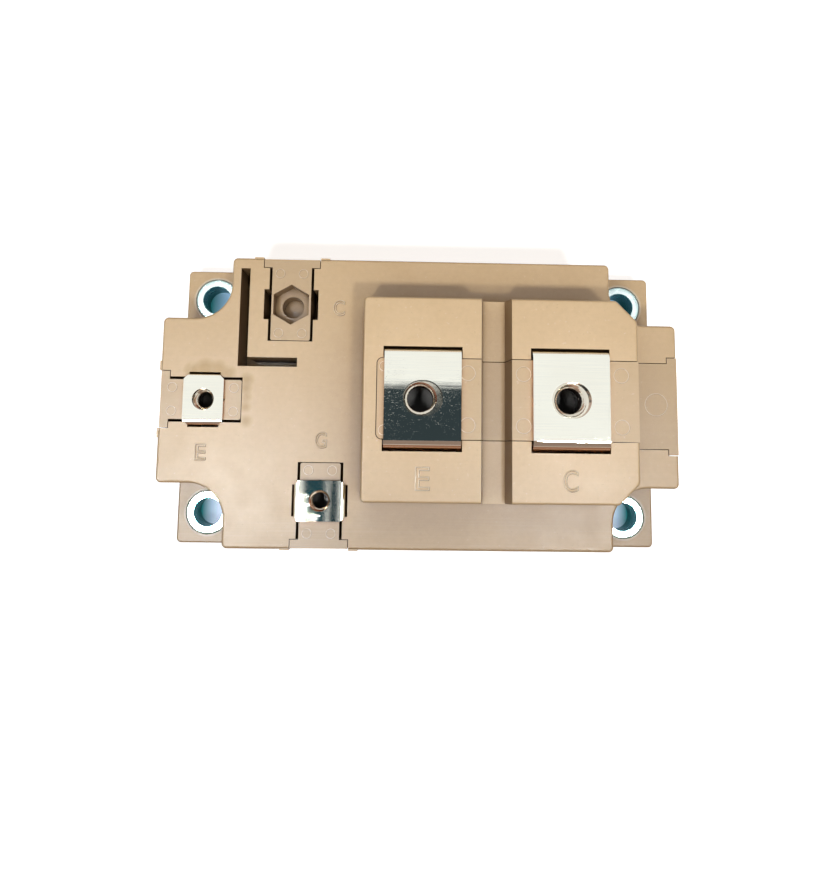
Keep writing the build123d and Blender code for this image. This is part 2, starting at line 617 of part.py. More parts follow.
def gate_resistor():
    """A round chip resistor across the gap between the gate pad and the gate strip."""
    axis = Pos((SENSE_PAD_RIGHT + CHIP_PAD_LEFT) / 2, (GATE_STRIP_INNER + PAD_OUTER) / 2,
               PAD_TOP + RESISTOR_DIAMETER / 2) * Rot(0, 90, 0)
    middle = RESISTOR_LENGTH - 2 * RESISTOR_CAP
    cap = Cylinder(RESISTOR_DIAMETER / 2, RESISTOR_CAP)
    reach = (middle + RESISTOR_CAP) / 2
    caps = [axis * Pos(0, 0, side * reach) * cap for side in (-1, 1)]
    return axis * Cylinder(RESISTOR_DIAMETER / 2, middle), caps


def gate_link():
    """A wire that joins the gate pads of the two substrates."""
    corners = ((-LINK_Y, PAD_TOP), (-LINK_Y, LINK_TOP), (LINK_Y, LINK_TOP), (LINK_Y, PAD_TOP))
    route = FilletPolyline(*[(LINK_X, y, z) for y, z in corners], radius=LINK_BEND)
    return sweep(Plane(route @ 0, z_dir=route % 0) * Circle(LINK_DIAMETER / 2), path=route)


def rear_circuit():
    """Every piece of the rear substrate by name."""
    row = chip_row()
    inset = (PAD_LEFT, PAD_RIGHT, PAD_INNER, PAD_OUTER)
    full = (SUBSTRATE_LEFT, SUBSTRATE_RIGHT, SUBSTRATE_INNER, SUBSTRATE_OUTER)
    chips = {kind: [chip(x, width, length, CHIP_BOTTOM, CHIP_THICKNESS)
                    for name, x, width, length in row if name == kind]
             for kind in ("transistor", "diode")}
    resistor, caps = gate_resistor()
    return {
        "substrate_solder": [layer(*inset, PLATE_THICKNESS, PLATE_SOLDER)],
        "substrate_bottom_copper": [layer(*inset, COPPER_BOTTOM, COPPER)],
        "substrate_ceramic": [layer(*full, CERAMIC_BOTTOM, CERAMIC)],
        "substrate_copper_pads": substrate_pads(),
        "chip_solder": [chip(x, width, length, PAD_TOP, CHIP_SOLDER) for _, x, width, length in row],
        "transistor_chips": chips["transistor"],
        "diode_chips": chips["diode"],
        "emitter_bond_wires": emitter_wires(),
        "gate_bond_wires": gate_wires(),
        "gate_resistor": [resistor],
        "gate_resistor_caps": caps,
    }


def silicone_gel(sunk_pieces):
    """The gel up to its level, wrapped round the legs, with room left over the substrates."""
    gel = prism(body_outline(HOUSING_WALL), PLATE_THICKNESS, GEL_TOP)
    room = block(SUBSTRATE_LEFT - GEL_ROOM, SUBSTRATE_RIGHT + GEL_ROOM, SUBSTRATE_INNER - GEL_ROOM,
                 SUBSTRATE_OUTER + GEL_ROOM, PLATE_THICKNESS, GEL_ROOM_TOP)
    gel -= room + mirror(room, about=Plane.XZ)
    for piece in sunk_pieces:
        gel -= piece
    return gel


def module():
    """Every piece of the module by name."""
    pieces = {"base_plate": base_plate(), "housing": housing(), "main_nut_carrier": main_nut_carrier()}
    for name, x, y in mount_places():
        pieces[f"bush_{name}"] = Pos(x, y, 0) * bush()
    for name, (place, reach) in sense_places().items():
        pieces[f"{name}_nut_carrier"] = place * sense_nut_carrier(reach)

    m6_nut = Pos(0, 0, BLOCK_TOP - NUT_SINK) * nut(M6_FLATS, M6_HEIGHT, M6_CORE, M6_THREAD)
    m4_nut = Pos(0, 0, SENSE_SEAT - NUT_SINK) * nut(M4_FLATS, M4_HEIGHT, M4_CORE, M4_THREAD)
    for name, x, nut_shift in (("emitter", 0, EMITTER_NUT_SHIFT), ("collector", MAIN_PITCH, 0)):
        pieces[f"{name}_terminal"] = Pos(x, 0, 0) * main_terminal()
        pieces[f"{name}_nut"] = Pos(x + nut_shift, 0, 0) * m6_nut
    for name, terminal in (("emitter_sense", emitter_sense_terminal()), ("gate", gate_terminal())):
        place = sense_places()[name][0]
        pieces[f"{name}_terminal"] = place * terminal
        pieces[f"{name}_nut"] = place * Rot(0, 0, 90) * m4_nut
    pieces["gate_link"] = gate_link()

    for name, solids in rear_circuit().items():
        pieces[f"rear_{name}"] = group(solids)
        pieces[f"front_{name}"] = group([mirror(solid, about=Plane.XZ) for solid in solids])
    sunk = [piece for name, piece in pieces.items() if name.endswith("terminal") or name == "gate_link"]
    pieces["silicone_gel"] = silicone_gel(sunk)
    return pieces


if __name__ == "__main__":
    os.makedirs("parts", exist_ok=True)
    for node, shape in module().items():
        export_step(shape, f"parts/{node}.step")
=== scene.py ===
"""Finishes, nut threads, moulded marks, lights and camera of the power transistor module."""
import json
import math

import bpy
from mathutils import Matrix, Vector


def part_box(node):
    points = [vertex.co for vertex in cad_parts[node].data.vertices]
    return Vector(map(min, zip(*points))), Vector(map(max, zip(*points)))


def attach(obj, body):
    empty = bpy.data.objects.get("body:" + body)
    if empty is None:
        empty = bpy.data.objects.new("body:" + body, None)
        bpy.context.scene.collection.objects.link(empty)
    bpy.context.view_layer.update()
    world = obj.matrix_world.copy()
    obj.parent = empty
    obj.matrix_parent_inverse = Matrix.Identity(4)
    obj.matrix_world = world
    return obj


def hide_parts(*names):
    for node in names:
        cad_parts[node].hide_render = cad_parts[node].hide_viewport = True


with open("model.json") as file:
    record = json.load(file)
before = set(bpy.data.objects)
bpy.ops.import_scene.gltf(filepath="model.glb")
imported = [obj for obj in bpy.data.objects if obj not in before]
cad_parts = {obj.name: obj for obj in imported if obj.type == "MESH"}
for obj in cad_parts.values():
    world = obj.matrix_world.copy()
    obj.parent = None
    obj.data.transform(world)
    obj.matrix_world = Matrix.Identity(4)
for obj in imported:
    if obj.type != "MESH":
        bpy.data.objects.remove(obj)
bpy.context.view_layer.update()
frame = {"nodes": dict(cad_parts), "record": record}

MM = 0.001

# Camera, fitted to the mounting holes and the edges of the body
CAMERA_PLACE = (-4.70 * MM, -9.53 * MM, 170.05 * MM)
CAMERA_ANGLES = (6.461, -1.374, 0.790)
CAMERA_LENS = 29.2
CAMERA_SHIFT = (0.0017, -0.0842)

# Metric threads of the nuts: outer diameter, bore and pitch
THREADS = {
    "emitter_nut": (6.0, 5.0, 1.0),
    "collector_nut": (6.0, 5.0, 1.0),
    "emitter_sense_nut": (4.0, 3.3, 0.7),
    "gate_nut": (4.0, 3.3, 0.7),
}
NUT_STEPS = 120
THREAD_STEPS = 24
THREAD_SLOPE = 1.5
THREAD_ROOT = 0.2
CORNER_CUT = 0.35
CORNER_SLOPE = 0.6
TOP_SHARE = 0.985
MOUTH_CUT = 0.12

# Depth below the nuts' tops at which the screw shafts are painted dark as shade, and that shade's radius
MAIN_SHAFT_DEPTH = 5.5
SMALL_SHAFT_DEPTH = 3.3
SHAFT_REACH = 5.0

# Moulded terminal letters: letter, centre x and y, width, height, and the carrier that they are level
# with, in millimetres
LETTERS = {
    "emitter_mark": ("E", 0.15, -14.9, 2.8, 4.2, "main_nut_carrier"),
    "collector_mark": ("C", 27.9, -15.0, 2.8, 3.9, "main_nut_carrier"),
    "emitter_sense_mark": ("E", -44.25, -10.6, 2.3, 3.1, "emitter_sense_nut_carrier"),
    "gate_mark": ("G", -20.05, -7.9, 2.4, 3.1, "gate_nut_carrier"),
    "collector_sense_mark": ("C", -17.05, 19.35, 2.4, 3.1, "collector_sense_nut_carrier"),
}
STROKE = 0.13

# Round ejector marks on the nut carriers: x, y and radius on the bar and the heel, and on each small
# carrier two across and two along it, from its screw's place
BAR_RINGS = [(-7.2, 6.0, 0.95), (-7.2, -6.0, 0.95)]
BAR_RINGS += [(x, y, 1.4) for x in (8.55, 19.1, 37.7) for y in (4.9, -4.9)]
HEEL_RINGS = [(48.6, 0.3, 2.3)]
SMALL_RING = 0.93
SMALL_RING_ACROSS = (-2.4, 2.4)
SMALL_RING_ALONG = (6.5, -6.0)
SPARE_SCREW_PLACE = (-27.0, 19.9)
RING_TUBE = 0.075

# Light: a warm glow from all round and three round lamps
AMBIENT = 0.18
AMBIENT_COLOUR = (1.0, 0.72, 0.50)
LAMP_COLOUR = (0.98, 1.0, 0.98)
LAMPS = {
    "left_lamp": ((-0.14, -0.27, 0.66), 0.07, 1.84),
    "right_lamp": ((0.15, -0.27, 0.66), 0.07, 1.74),
    "rear_lamp": ((0.02, 0.22, 0.45), 0.16, 0.36),
}
FLOOR_GLOW_FRONT = 0.95
FLOOR_GLOW_REAR = 0.74

# Sheets and small bright spots over the module that only show as reflections, in metres
CARD_LEVEL = 0.40
SPOT_LEVEL = CARD_LEVEL - 0.005
CARDS = {
    "dark_card_left": ([(-0.0715, -0.110), (-0.0545, -0.110), (-0.0545, 0.035), (-0.0715, 0.035)],
                       (0.006, 0.045, 0.065)),
    "dark_card_middle": ([(-0.0528, -0.110), (-0.0455, -0.110), (-0.0455, 0.035), (-0.0528, 0.035)],
                         (0.0, 0.020, 0.032)),
    "dark_card_right": ([(-0.0425, -0.110), (0.066, -0.110), (0.066, 0.035), (-0.0425, 0.035)],
                        (0.034, 0.049, 0.058)),
    "brown_card": ([(-0.45, -0.64), (0.45, -0.64), (0.150, -0.022), (0.067, -0.022), (0.067, -0.111),
                    (-0.10, -0.111)], (0.30, 0.21, 0.17)),
}
SPOTS = {
    "left_spot": (-0.133, -0.055, 0.030, 400.0),
    "right_spot": (0.125, -0.060, 0.030, 260.0),
}

# A flag that shades the front of the module from both front lamps
FLAG = ([(-0.13, -0.195), (0.14, -0.195), (0.14, -0.150), (-0.13, -0.150)], 0.35)

# Mounting holes, for the finishes round them: the hole's wall, the bush's rim, the painted glow round
# the bush, and the bush's outer edge
HOLE_X = 46.5
HOLE_Y = 24.0
HOLE_WALL = 3.22
BUSH_RIM = 3.8
BUSH_GLOW = 4.7
BUSH_EDGE = 5.0

# The plastic's lower level, below which it is painted darker as shade, and half the length and width
# of the floor painted dark as shadow under the module
LOW_LEVEL = 24.5
UNDER_X = 53.0
UNDER_Y = 30.5
UNDER_SOFT = 0.2

# Brown stains round the emitter sense terminal: x, y, radius, soft edge and strength
STAINS = [(-46.6, 5.8, 0.8, 1.3, 0.9), (-44.0, 6.3, 0.9, 1.6, 1.0), (-41.4, 6.2, 0.8, 1.5, 0.9),
          (-39.2, 5.5, 0.5, 1.3, 0.8), (-35.5, 4.2, 0.4, 1.3, 0.9), (-35.6, 2.4, 0.3, 1.2, 0.9),
          (-35.6, 0.6, 0.3, 1.2, 0.8), (-35.6, -1.4, 0.3, 1.1, 0.8), (-35.4, -4.2, 0.3, 1.4, 0.7)]

# Colours worked into the moulded plastic, among them painted shade, a painted highlight and a painted
# glow
MOTTLE_BROWN = (0.40, 0.27, 0.16)
SPECK_BROWN = (0.22, 0.14, 0.09)
SPECK_PALE = (0.86, 0.76, 0.62)
DRAG_PALE = (0.86, 0.76, 0.60)
STAIN_BROWN = (0.42, 0.27, 0.09)
# Painted shade on the plastic's side walls
SIDE_SHADE_BROWN = (0.18, 0.10, 0.045)
# Painted highlight on rims turned towards the left front lamp
RIM_HIGHLIGHT_PALE = (0.86, 0.76, 0.57)
# Painted shade on the plastic's lower level
LOW_SHADE_BROWN = (0.15, 0.075, 0.03)
SHADE_BROWN = (0.16, 0.078, 0.022)
# Painted shade in narrow gaps and inner corners
GAP_SHADE_DARK = (0.030, 0.020, 0.012)
# Painted shade in the screw shafts under the nuts
SHAFT_SHADE_DARK = (0.010, 0.009, 0.009)
# Painted glow on the plastic round the bright bushes
HALO_GLOW_WHITE = (0.80, 0.84, 0.80)

# Colours worked into the metals, with a painted reflection and painted shade among them
# Painted reflection: teal on the walls of the mounting holes
WALL_REFLECTION_TEAL = (0.02, 0.16, 0.16)
CUT_COPPER = (0.60, 0.34, 0.25)
STREAK_GREY = (0.62, 0.66, 0.66)
# Painted shade in the nuts' bores
BORE_SHADE_DARK = (0.016, 0.014, 0.014)


def set_inputs(node, **values):
    for name, value in values.items():
        node.inputs[name.replace("_", " ")].default_value = value


class Finish:
    """A node material under construction, with short calls for the nodes that it uses."""

    def __init__(self, name):
        self.material = bpy.data.materials.new(name)
        self.material.use_nodes = True
        self.nodes = self.material.node_tree.nodes
        self.links = self.material.node_tree.links
        self.surface = self.nodes["Principled BSDF"]
        self.place = self.nodes.new("ShaderNodeTexCoord").outputs["Object"]

    def link(self, output, node, name):
        self.links.new(output, node.inputs[name])

    def stretch(self, x, y, z):
        node = self.nodes.new("ShaderNodeMapping")
        node.inputs["Scale"].default_value = (x, y, z)
        self.link(self.place, node, "Vector")
        return node.outputs["Vector"]

    def noise(self, scale, detail=3.0, vector=None, distortion=0.0):
        node = self.nodes.new("ShaderNodeTexNoise")
        set_inputs(node, Scale=scale, Detail=detail, Distortion=distortion)
        self.link(vector or self.place, node, "Vector")
        return node.outputs["Fac"]

    def range(self, value, low, high, to_low=0.0, to_high=1.0):
        node = self.nodes.new("ShaderNodeMapRange")
        set_inputs(node, From_Min=low, From_Max=high, To_Min=to_low, To_Max=to_high)
        self.link(value, node, "Value")
        return node.outputs["Result"]

    def maths(self, operation, first, second):
        node = self.nodes.new("ShaderNodeMath")
        node.operation = operation
        for value, place in ((first, node.inputs[0]), (second, node.inputs[1])):
            if isinstance(value, (int, float)):
                place.default_value = value
            else:
                self.links.new(value, place)
        return node.outputs["Value"]

    def blend(self, factor, first, second, mode="MIX"):
        node = self.nodes.new("ShaderNodeMix")
        node.data_type = "RGBA"
        node.blend_type = mode
        sockets = {s.identifier: s for s in node.inputs}
        for value, place in ((factor, sockets["Factor_Float"]), (first, sockets["A_Color"]),
                             (second, sockets["B_Color"])):
            if isinstance(value, (int, float)):
                place.default_value = value
            elif isinstance(value, tuple):
                place.default_value = (*value, 1.0)
            else:
                self.links.new(value, place)
        return {s.identifier: s for s in node.outputs}["Result_Color"]

    def parts_of(self, vector):
        """The X, Y and Z of a vector."""
        split = self.nodes.new("ShaderNodeSeparateXYZ")
        self.link(vector, split, "Vector")
        return split.outputs["X"], split.outputs["Y"], split.outputs["Z"]

    def near(self, x, y, radius, soft, each_corner=False):
        """1 within a radius of an upright line through (x, y), falling to 0, in millimetres.

        With each_corner the line stands in all four quarters of the plan.
        """
        across, along, _ = self.parts_of(self.place)
        if each_corner:
            across, along = self.maths("ABSOLUTE", across, 0), self.maths("ABSOLUTE", along, 0)
        join = self.nodes.new("ShaderNodeCombineXYZ")
        self.link(across, join, "X")
        self.link(along, join, "Y")
        distance = self.nodes.new("ShaderNodeVectorMath")
        distance.operation = "DISTANCE"
        distance.inputs[1].default_value = (x * MM, y * MM, 0)
        self.links.new(join.outputs["Vector"], distance.inputs[0])
        return self.range(distance.outputs["Value"], radius * MM, (radius + soft) * MM, 1.0, 0.0)

    def open_air(self, reach, low, high):
        """0 in narrow gaps and inner corners to 1 in the open, seen within a reach in millimetres."""
        node = self.nodes.new("ShaderNodeAmbientOcclusion")
        node.samples = 8
        set_inputs(node, Distance=reach * MM)
        return self.range(node.outputs["AO"], low, high)

    def below(self, level, soft):
        """1 below a height, falling to 0 above it, in millimetres."""
        return self.range(self.parts_of(self.place)[2], level * MM, (level + soft) * MM, 1.0, 0.0)

    def facing(self, x, y, z, low, high):
        """0 to 1 as the surface turns from low to high against a direction."""
        lie = self.nodes.new("ShaderNodeVectorMath")
        lie.operation = "DOT_PRODUCT"
        lie.inputs[1].default_value = (x, y, z)
        shape = self.nodes.new("ShaderNodeNewGeometry")
        self.links.new(shape.outputs["Normal"], lie.inputs[0])
        return self.range(lie.outputs["Value"], low, high)

    def seen_directly(self):
        """The light path, and 1 for what the camera sees straight, in a mirror or through glass."""
        path = self.nodes.new("ShaderNodeLightPath")
        seen = self.maths("MAXIMUM", path.outputs["Is Camera Ray"], path.outputs["Is Glossy Ray"])
        return path, self.maths("MAXIMUM", seen, path.outputs["Is Transmission Ray"])

    def bump(self, height, depth_mm, strength=1.0, normal=None):
        node = self.nodes.new("ShaderNodeBump")
        set_inputs(node, Strength=strength, Distance=depth_mm * MM)
        self.link(height, node, "Height")
        if normal is not None:
            self.link(normal, node, "Normal")
        return node.outputs["Normal"]

    def finish(self, colour=None, roughness=None, normal=None, **values):
        if colour is not None:
            self.link(colour, self.surface, "Base Color")
        if roughness is not None:
            self.link(roughness, self.surface, "Roughness")
        if normal is not None:
            self.link(normal, self.surface, "Normal")
        set_inputs(self.surface, **values)
        return self.material


# Finishes
def moulded_plastic(name, base, dark, stains=(), shafts=(), halo=False):
    """Glass-filled moulding: soft flow marks, mottling, fine specks, faint drag lines, painted shade and
    highlights.
    """
    f = Finish(name)
    flow = f.range(f.noise(55, 4, distortion=1.2), 0.3, 0.7)
    colour = f.blend(f.maths("MULTIPLY", flow, 0.55), base, dark)
    mottle = f.range(f.noise(900, 3), 0.35, 0.75)
    colour = f.blend(f.maths("MULTIPLY", mottle, 0.14), colour, MOTTLE_BROWN)
    specks = f.range(f.noise(2600, 2), 0.68, 0.76)
    colour = f.blend(f.maths("MULTIPLY", specks, 0.22), colour, SPECK_BROWN)
    pale = f.range(f.noise(1700, 2), 0.68, 0.76)
    colour = f.blend(f.maths("MULTIPLY", pale, 0.22), colour, SPECK_PALE)
    lines = f.noise(260, 2, f.stretch(0.12, 14.0, 1.0))
    front = f.range(f.parts_of(f.place)[1], -26 * MM, -20 * MM, 0.07, 0.02)
    dragged = f.maths("MULTIPLY", f.range(lines, 0.45, 0.7), front)
    colour = f.blend(dragged, colour, DRAG_PALE)
    edge = f.range(f.noise(420, 4), 0.15, 0.45)
    for x, y, radius, soft, strength in stains:
        spot = f.maths("MULTIPLY", f.near(x, y, radius, soft), edge)
        colour = f.blend(f.maths("MULTIPLY", spot, strength), colour, STAIN_BROWN)
    # Painted shade: side walls made darker than the tops, as if less lit
    sides = f.maths("SUBTRACT", 1.0, f.facing(0, 0, 1, 0.15, 0.97))
    sides = f.maths("MULTIPLY", sides, f.facing(0, 0, 1, -0.6, 0.5))
    colour = f.blend(f.maths("MULTIPLY", sides, 0.80), colour, SIDE_SHADE_BROWN)
    # Painted highlight: rims and slopes turned towards the left front lamp made paler
    rim = f.maths("MULTIPLY", f.facing(-0.45, -0.35, 0.82, 0.90, 0.97), 0.5)
    colour = f.blend(rim, colour, RIM_HIGHLIGHT_PALE)
    # Painted shade: the plastic below the lower level made a little darker
    colour = f.blend(f.maths("MULTIPLY", f.below(LOW_LEVEL, 1.0), 0.10), colour, LOW_SHADE_BROWN)
    # Painted shade: darker in hollows, in the groove and beside the raised blocks, seen within 15 mm
    shaded = f.maths("SUBTRACT", 1.0, f.open_air(15.0, 0.35, 0.95))
    colour = f.blend(f.maths("MULTIPLY", shaded, 0.60), colour, SHADE_BROWN)
    # Painted shade: narrow gaps and inner corners made nearly black, except round the housing's mounting
    # holes
    gap_shade = f.maths("SUBTRACT", 1.0, f.open_air(2.5, 0.08, 0.62))
    if halo:
        round_hole = f.near(HOLE_X, HOLE_Y, BUSH_EDGE, 0.5, True)
        gap_shade = f.maths("MULTIPLY", gap_shade, f.maths("SUBTRACT", 1.0, round_hole))
    colour = f.blend(f.maths("MULTIPLY", gap_shade, 0.93), colour, GAP_SHADE_DARK)
    # Painted shade: the carrier plastic round each screw shaft darkened below a depth
    for x, y, level in shafts:
        inside = f.maths("MULTIPLY", f.near(x, y, SHAFT_REACH, 0.5), f.below(level, 1.0))
        colour = f.blend(f.maths("MULTIPLY", inside, 0.97), colour, SHAFT_SHADE_DARK)
    # Painted glow: the plastic just round each mounting hole made whitish
    if halo:
        glow = f.maths("MULTIPLY", f.near(HOLE_X, HOLE_Y, BUSH_GLOW, 0.7, True), 0.55)
        colour = f.blend(glow, colour, HALO_GLOW_WHITE)
    normal = f.bump(lines, 0.006, 0.5)
    normal = f.bump(f.noise(3800, 2), 0.01, 0.5, normal)
    roughness = f.range(f.noise(300, 3), 0.3, 0.7, 0.40, 0.45)
    f.link(f.range(gap_shade, 0.0, 0.6, 0.30, 0.0), f.surface, "Specular IOR Level")
    return f.finish(colour, roughness, normal)


def mark_edge(name, pale, dark):
    """The edge of a moulded mark, pale on the side towards the light and dark on the other."""
    f = Finish(name)
    turned = f.facing(0.62, -0.62, 0.45, 0.28, 0.62)
    grain = f.maths("MULTIPLY", f.range(f.noise(1800, 2), 0.3, 0.7), 0.25)
    colour = f.blend(grain, f.blend(turned, pale, dark), (0.45, 0.32, 0.20))
    return f.finish(colour, f.range(f.noise(600, 2), 0.3, 0.7, 0.35, 0.5))


def brushed_plating(name, base, warm, roughness, line_depth):
    """Plated copper sheet with brush lines across it, a few scratches, and copper at the cut edges."""
    f = Finish(name)
    patches = f.range(f.noise(130, 3), 0.35, 0.65)
    colour = f.blend(f.maths("MULTIPLY", patches, 0.5), base, warm)
    cut = f.maths("SUBTRACT", 1.0, f.facing(0, 0, 1, 0.10, 0.45))
    cut = f.maths("MAXIMUM", cut, f.facing(0, -1, 0, 0.45, 0.75))
    colour = f.blend(f.maths("MULTIPLY", cut, 0.85), colour, CUT_COPPER)
    brush = f.noise(60, 4, f.stretch(0.8, 70.0, 70.0))
    fine = f.noise(90, 3, f.stretch(1.2, 190.0, 190.0))
    scratch = f.range(f.noise(700, 3, f.stretch(2.0, 5.0, 1.0), distortion=2.5), 0.65, 0.70)
    streaks = f.maths("MULTIPLY", f.range(fine, 0.42, 0.60), 0.14)
    colour = f.blend(streaks, colour, STREAK_GREY)
    worn = f.maths("MULTIPLY", scratch, f.range(f.noise(60, 2), 0.42, 0.56))
    height = f.maths("ADD", f.maths("MULTIPLY", brush, 0.6), f.maths("MULTIPLY", fine, 0.6))
    height = f.maths("SUBTRACT", height, f.maths("MULTIPLY", worn, 1.2))
    lined = f.range(fine, 0.45, 0.80, roughness * 0.6, roughness * 1.3)
    rough = f.maths("MAXIMUM", lined, f.maths("MULTIPLY", worn, 0.07))
    return f.finish(colour, rough, f.bump(height, line_depth, 0.6), Metallic=1.0)


def plain_metal(name, base, shade, roughness, grain=700, hole_wall=None, rim=None, shade_below=None):
    """Metal with faint cloudy shading and a fine grain.

    Hole walls may get a painted teal reflection, rims may differ, and what lies below a height painted
    shade.
    """
    f = Finish(name)
    clouds = f.range(f.noise(grain * 0.4, 3), 0.3, 0.7)
    colour = f.blend(f.maths("MULTIPLY", clouds, 0.6), base, shade)
    if rim:
        colour = f.blend(f.near(HOLE_X, HOLE_Y, BUSH_RIM, 0.7, True), rim, colour)
    # Painted reflection: the mounting holes' walls coloured teal
    if hole_wall:
        colour = f.blend(f.near(HOLE_X, HOLE_Y, HOLE_WALL, 0.1, True), colour, hole_wall)
    # Painted shade: the nut made dark below a height under its top, in its bore and pocket
    if shade_below:
        colour = f.blend(f.below(shade_below - 1.2, 1.0), colour, BORE_SHADE_DARK)
    rough = f.range(f.noise(grain, 3), 0.3, 0.7, roughness * 0.8, roughness * 1.2)
    return f.finish(colour, rough, f.bump(f.noise(grain * 3, 2), 0.006, 0.5), Metallic=1.0)


def fired(name, base, shade, roughness, grain=900):
    """A non-metal with a fine grain, such as ceramic or glaze."""
    f = Finish(name)
    clouds = f.range(f.noise(grain * 0.3, 3), 0.3, 0.7)
    colour = f.blend(f.maths("MULTIPLY", clouds, 0.6), base, shade)
    rough = f.range(f.noise(grain, 3), 0.3, 0.7, roughness * 0.85, roughness * 1.15)
    return f.finish(colour, rough, f.bump(f.noise(grain * 3, 2), 0.006, 0.4))


def gel(name):
    f = Finish(name)
    haze = f.range(f.noise(160, 3), 0.3, 0.7)
    colour = f.blend(haze, (0.86, 0.88, 0.85), (0.78, 0.80, 0.76))
    rough = f.range(f.noise(500, 2), 0.3, 0.7, 0.12, 0.22)
    return f.finish(colour, rough, f.bump(f.noise(220, 2), 0.05, 0.3),
                    Transmission_Weight=0.8, IOR=1.41, Alpha=0.6)


def nut_places(nodes):
    """Centre and top of each nut, in millimetres."""
    boxes = {node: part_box(node) for node in nodes}
    return {node: ((low.x + high.x) / 2 / MM, (low.y + high.y) / 2 / MM, high.z / MM)
            for node, (low, high) in boxes.items()}


def shafts_under(nuts, depth):
    """Centre and top of the painted shade in the screw shaft under each nut, in millimetres."""
    places = [NUT_PLACES[nut] for nut in nuts]
    return [(x, y, top - depth) for x, y, top in places]


NUT_PLACES = nut_places(THREADS)
MAIN_SHAFTS = shafts_under(("emitter_nut", "collector_nut"), MAIN_SHAFT_DEPTH)
SMALL_SHAFTS = shafts_under(("emitter_sense_nut", "gate_nut"), SMALL_SHAFT_DEPTH)
HOUSING_FINISH = moulded_plastic("housing_plastic", (0.660, 0.478, 0.276), (0.59, 0.412, 0.219),
                                 STAINS, halo=True)
BAR_FINISH = moulded_plastic("bar_plastic", (0.555, 0.396, 0.223), (0.497, 0.347, 0.184),
                             shafts=MAIN_SHAFTS)
CARRIER_FINISH = moulded_plastic("carrier_plastic", (0.57, 0.415, 0.247), (0.505, 0.358, 0.202),
                                 shafts=SMALL_SHAFTS)
MARK_FINISH = mark_edge("mark_edge", (0.90, 0.77, 0.56), (0.22, 0.14, 0.07))
FINISHES = {
    "tan_plastic": HOUSING_FINISH,
    "plated_copper_plate": plain_metal("plate_nickel", (0.50, 0.49, 0.47), (0.40, 0.39, 0.36), 0.34,
                                       hole_wall=WALL_REFLECTION_TEAL),
    "terminal_plating": brushed_plating("terminal_tin", (0.91, 0.91, 0.81), (0.87, 0.855, 0.75),
                                        0.045, 0.0018),
    "bush_metal": plain_metal("bush_zinc", (0.62, 0.71, 0.71), (0.54, 0.64, 0.65), 0.25,
                              hole_wall=WALL_REFLECTION_TEAL, rim=(0.40, 0.52, 0.51)),
    "nut_steel": plain_metal("cap_tin", (0.74, 0.72, 0.66), (0.62, 0.58, 0.50), 0.24),
    "copper": plain_metal("bare_copper", (0.80, 0.42, 0.27), (0.66, 0.32, 0.19), 0.32),
    "ceramic": fired("white_ceramic", (0.84, 0.83, 0.79), (0.76, 0.75, 0.71), 0.55),
    "solder": plain_metal("dull_solder", (0.55, 0.56, 0.57), (0.44, 0.45, 0.46), 0.5),
    "silicon": fired("silicon_face", (0.13, 0.14, 0.17), (0.10, 0.11, 0.15), 0.22),
    "aluminium_wire": plain_metal("drawn_aluminium", (0.84, 0.84, 0.85), (0.72, 0.72, 0.74), 0.28),
    "resistor_body": fired("resistor_glaze", (0.16, 0.30, 0.40), (0.12, 0.24, 0.34), 0.25),
    "silicone_gel": gel("clear_gel"),
}


def dress_nodes():
    """Gives each CAD node the finish of its slot, and the nut carriers their own."""
    for part in frame["record"]["subparts"]:
        finish = FINISHES[part["material_slot"]]
        if part["node"].endswith("nut_carrier"):
            finish = BAR_FINISH if part["node"].startswith("main") else CARRIER_FINISH
        for place in frame["nodes"][part["node"]].material_slots:
            place.material = finish


def add_mesh(name, points, faces, finish, smooth_angle=40):
    mesh = bpy.data.meshes.new(name)
    mesh.from_pydata(points, [], faces)
    return add_piece(name, mesh, finish, smooth_angle)


def add_piece(name, mesh, finish, smooth_angle=40):
    mesh.validate()
    mesh.materials.clear()
    mesh.materials.append(finish)
    piece = bpy.data.objects.new(name, mesh)
    bpy.context.scene.collection.objects.link(piece)
    mesh.shade_smooth()
    mesh.set_sharp_from_angle(angle=math.radians(smooth_angle))
    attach(piece, "root")
    return piece


# Nuts with real threads
def thread_radius(outer, bore, pitch, z, height, angle):
    """Radius of the threaded bore at a height above the nut's foot, with a cut mouth at both ends."""
    turn = (z / pitch - angle / math.tau) % 1.0
    ridge = min(1.0, max(0.0, THREAD_SLOPE * abs(2 * turn - 1) - THREAD_ROOT))
    radius = bore / 2 + (outer - bore) / 2 * ridge
    mouth = outer / 2 + MOUTH_CUT * MM - min(z, height - z)
    return max(radius, mouth)


